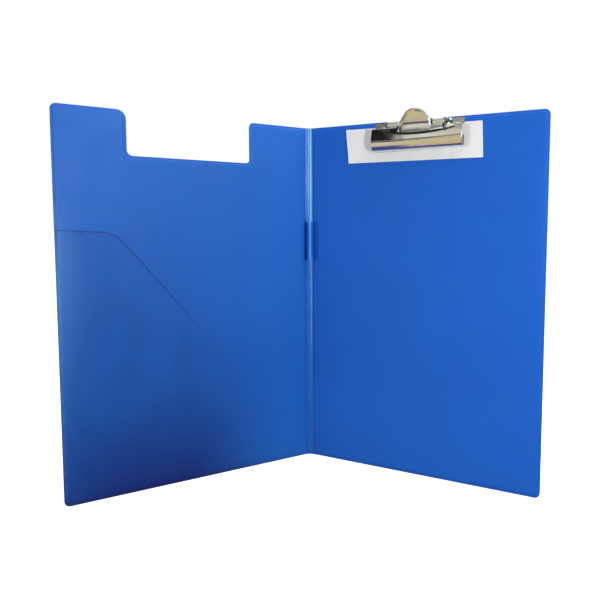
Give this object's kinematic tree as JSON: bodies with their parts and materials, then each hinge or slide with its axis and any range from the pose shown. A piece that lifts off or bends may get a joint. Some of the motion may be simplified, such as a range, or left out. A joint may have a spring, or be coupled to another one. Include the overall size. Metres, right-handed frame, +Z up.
{
  "type": "clipboard folder",
  "caption": "Fold-over clipboard folder: two vinyl-covered boards on a hinged spine, sprung metal clip on the rear board, notched front cover with pocket, and a pen loop.",
  "frame": {"origin": "centre of the bounding box's footprint, on the surface that the folder stands on", "axes": "+Z up along the spine; the rear board, which carries the clip, lies along X and its writing face looks towards -Y; the front cover opens towards -Y at 120 degrees to it"},
  "size_m": [0.358, 0.2098, 0.3493],
  "materials": {
    "blue_vinyl": "calendered vinyl sheet, satin, faint grain, welded seams",
    "greyboard": "unlined grey pulp board, sealed inside the covers",
    "plated_steel": "bright nickel plate on pressed steel",
    "spring_steel": "plain drawn wire",
    "rivet_steel": "bright plated, lightly brushed",
    "white_paper": "uncoated white paper"
  },
  "bodies": {
    "rear_cover": {"rear_board_core": "greyboard", "rear_inner_skin": "blue_vinyl", "rear_outer_skin": "blue_vinyl", "clip_base_plate": "plated_steel", "pivot_pin": "plated_steel", "torsion_spring": "spring_steel", "rivets": "rivet_steel", "rivet_washers": "rivet_steel"},
    "spine": {"spine_inner_skin": "blue_vinyl", "spine_outer_skin": "blue_vinyl", "pen_loop": "blue_vinyl"},
    "front_cover": {"front_board_core": "greyboard", "front_inner_skin": "blue_vinyl", "front_outer_skin": "blue_vinyl", "document_pocket": "blue_vinyl"},
    "jaw": {"clip_jaw": "plated_steel", "clip_lever": "plated_steel"},
    "paper_slip": {"paper_slip": "white_paper"}
  },
  "joints": [
    {"name": "rear_fold", "type": "hinge", "parent": "spine", "child": "rear_cover", "pos_m": [-0.05598, 0.10194, 0.17], "axis": [0, 0, 1], "range_deg": [-60, 120], "deforming": ["pen_loop"]},
    {"name": "front_fold", "type": "hinge", "parent": "spine", "child": "front_cover", "pos_m": [-0.06118, 0.09895, 0.17], "axis": [0, 0, -1], "range_deg": [-60, 120]},
    {"name": "jaw_pivot", "type": "hinge", "parent": "rear_cover", "child": "jaw", "pos_m": [0.06072, 0.09595, 0.336], "axis": [-1, 0, 0], "range_deg": [0, 30], "stiffness_Nm_per_rad": 0.2, "springref_deg": -68.75, "deforming": ["torsion_spring"]},
    {"name": "slip_slide", "type": "slide", "parent": "rear_cover", "child": "paper_slip", "axis": [0, 0, -1], "range_m": [0, 0.04]}
  ],
  "couplings": [
    {"joint": "front_fold", "follows": "rear_fold", "ratio": 1}
  ]
}
